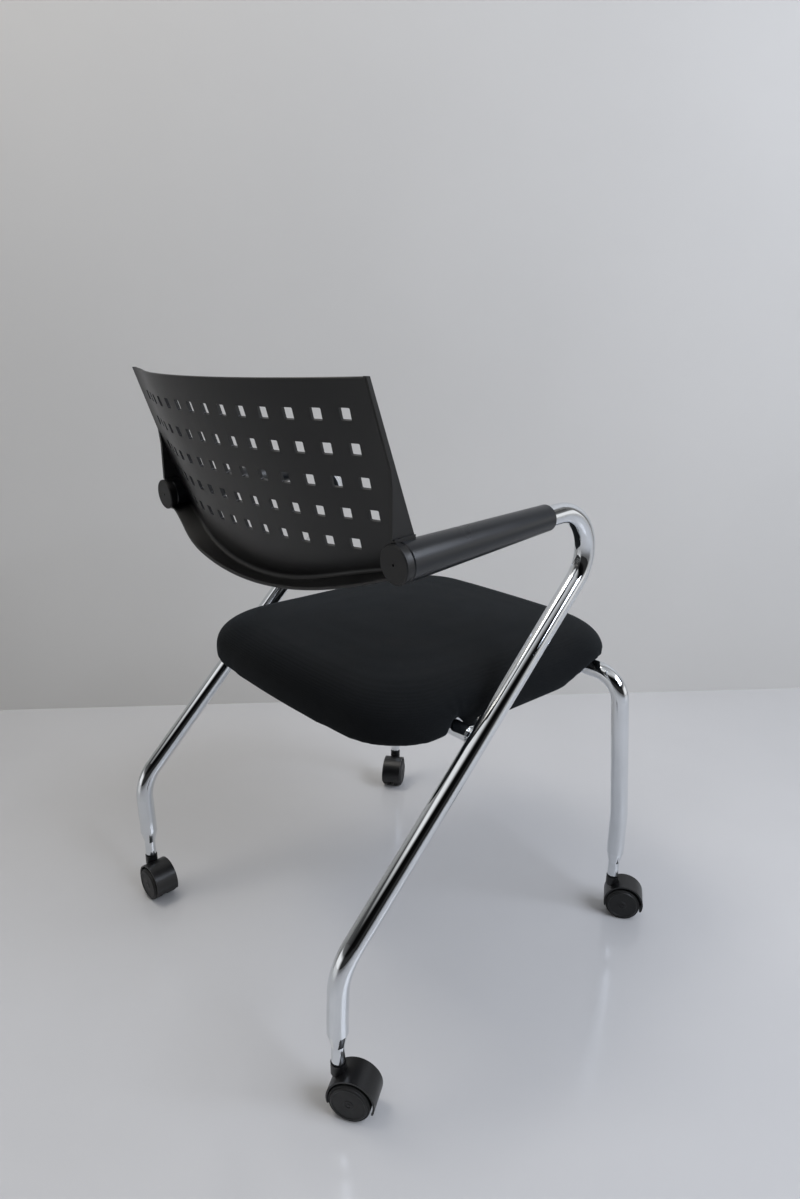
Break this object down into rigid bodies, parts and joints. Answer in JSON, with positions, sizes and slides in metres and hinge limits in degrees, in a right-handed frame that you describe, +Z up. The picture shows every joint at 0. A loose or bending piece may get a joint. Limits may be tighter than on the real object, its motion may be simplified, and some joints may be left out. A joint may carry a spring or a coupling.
{
  "type": "nesting chair",
  "caption": "Nesting armchair on twin-wheel casters: chromed tube frame, perforated plastic back, upholstered flip-up seat.",
  "frame": {"origin": "on the floor, on the middle plane, half-way between the front and rear caster stems", "axes": "+Z up; -Y is the way a sitter faces; -X is the sitter's right"},
  "size_m": [0.5827, 0.5842, 0.805],
  "materials": {
    "chrome": "polished",
    "steel": "zinc plated",
    "back_plastic": "satin, fine grain",
    "arm_plastic": "satin",
    "cap_plastic": "matte",
    "upholstery": "woven",
    "seat_board": "matte",
    "nylon": "matte",
    "rubber": "matte",
    "caster_plastic": "satin",
    "wheel_plastic": "matte"
  },
  "bodies": {
    "frame": {"right_side_tube": "chrome", "left_side_tube": "chrome", "front_leg_frame": "chrome", "seat_cross_tube": "chrome", "right_seat_rail": "chrome", "left_seat_rail": "chrome", "frame_gussets": "chrome", "seat_stop_pins": "steel", "right_arm_sleeve": "arm_plastic", "left_arm_sleeve": "arm_plastic", "arm_end_caps": "cap_plastic", "arm_tube_plugs": "steel", "backrest_screws": "steel", "backrest": "back_plastic", "stem_bushes": "nylon"},
    "seat": {"seat_pan": "seat_board", "seat_cushion": "upholstery", "right_hinge_block": "nylon", "left_hinge_block": "nylon", "hinge_straps": "steel", "hinge_screws": "steel", "seat_bumpers": "rubber"},
    "rear_right_caster": {"rear_right_caster_hood": "caster_plastic", "rear_right_caster_stem": "steel", "rear_right_caster_axle": "steel"},
    "rear_right_caster_wheel_a": {"rear_right_caster_wheel_a": "wheel_plastic"},
    "rear_right_caster_wheel_b": {"rear_right_caster_wheel_b": "wheel_plastic"},
    "front_right_caster": {"front_right_caster_hood": "caster_plastic", "front_right_caster_stem": "steel", "front_right_caster_axle": "steel"},
    "front_right_caster_wheel_a": {"front_right_caster_wheel_a": "wheel_plastic"},
    "front_right_caster_wheel_b": {"front_right_caster_wheel_b": "wheel_plastic"},
    "rear_left_caster": {"rear_left_caster_hood": "caster_plastic", "rear_left_caster_stem": "steel", "rear_left_caster_axle": "steel"},
    "rear_left_caster_wheel_a": {"rear_left_caster_wheel_a": "wheel_plastic"},
    "rear_left_caster_wheel_b": {"rear_left_caster_wheel_b": "wheel_plastic"},
    "front_left_caster": {"front_left_caster_hood": "caster_plastic", "front_left_caster_stem": "steel", "front_left_caster_axle": "steel"},
    "front_left_caster_wheel_a": {"front_left_caster_wheel_a": "wheel_plastic"},
    "front_left_caster_wheel_b": {"front_left_caster_wheel_b": "wheel_plastic"}
  },
  "joints": [
    {"name": "seat_flip", "type": "hinge", "parent": "frame", "child": "seat", "pos_m": [0, 0.0525, 0.399], "axis": [-1, 0, 0], "range_deg": [0, 80]},
    {"name": "rear_right_caster_swivel", "type": "hinge", "parent": "frame", "child": "rear_right_caster", "pos_m": [-0.249, 0.258, 0.07], "axis": [0, 0, 1], "continuous": true},
    {"name": "rear_right_caster_wheel_a_roll", "type": "hinge", "parent": "rear_right_caster", "child": "rear_right_caster_wheel_a", "pos_m": [-0.26392, 0.24793, 0.025], "axis": [0.5592, -0.829, 0], "continuous": true},
    {"name": "rear_right_caster_wheel_b_roll", "type": "hinge", "parent": "rear_right_caster", "child": "rear_right_caster_wheel_b", "pos_m": [-0.26392, 0.24793, 0.025], "axis": [0.5592, -0.829, 0], "continuous": true},
    {"name": "front_right_caster_swivel", "type": "hinge", "parent": "frame", "child": "front_right_caster", "pos_m": [-0.257, -0.26, 0.07], "axis": [0, 0, 1], "continuous": true},
    {"name": "front_right_caster_wheel_a_roll", "type": "hinge", "parent": "front_right_caster", "child": "front_right_caster_wheel_a", "pos_m": [-0.27192, -0.27006, 0.025], "axis": [0.5592, -0.829, 0], "continuous": true},
    {"name": "front_right_caster_wheel_b_roll", "type": "hinge", "parent": "front_right_caster", "child": "front_right_caster_wheel_b", "pos_m": [-0.27192, -0.27006, 0.025], "axis": [0.5592, -0.829, 0], "continuous": true},
    {"name": "rear_left_caster_swivel", "type": "hinge", "parent": "frame", "child": "rear_left_caster", "pos_m": [0.249, 0.258, 0.07], "axis": [0, 0, 1], "continuous": true},
    {"name": "rear_left_caster_wheel_a_roll", "type": "hinge", "parent": "rear_left_caster", "child": "rear_left_caster_wheel_a", "pos_m": [0.23104, 0.25674, 0.025], "axis": [0.0698, -0.9976, 0], "continuous": true},
    {"name": "rear_left_caster_wheel_b_roll", "type": "hinge", "parent": "rear_left_caster", "child": "rear_left_caster_wheel_b", "pos_m": [0.23104, 0.25674, 0.025], "axis": [0.0698, -0.9976, 0], "continuous": true},
    {"name": "front_left_caster_swivel", "type": "hinge", "parent": "frame", "child": "front_left_caster", "pos_m": [0.257, -0.26, 0.07], "axis": [0, 0, 1], "continuous": true},
    {"name": "front_left_caster_wheel_a_roll", "type": "hinge", "parent": "front_left_caster", "child": "front_left_caster_wheel_a", "pos_m": [0.24592, -0.24582, 0.025], "axis": [-0.788, -0.6157, 0], "continuous": true},
    {"name": "front_left_caster_wheel_b_roll", "type": "hinge", "parent": "front_left_caster", "child": "front_left_caster_wheel_b", "pos_m": [0.24592, -0.24582, 0.025], "axis": [-0.788, -0.6157, 0], "continuous": true}
  ]
}
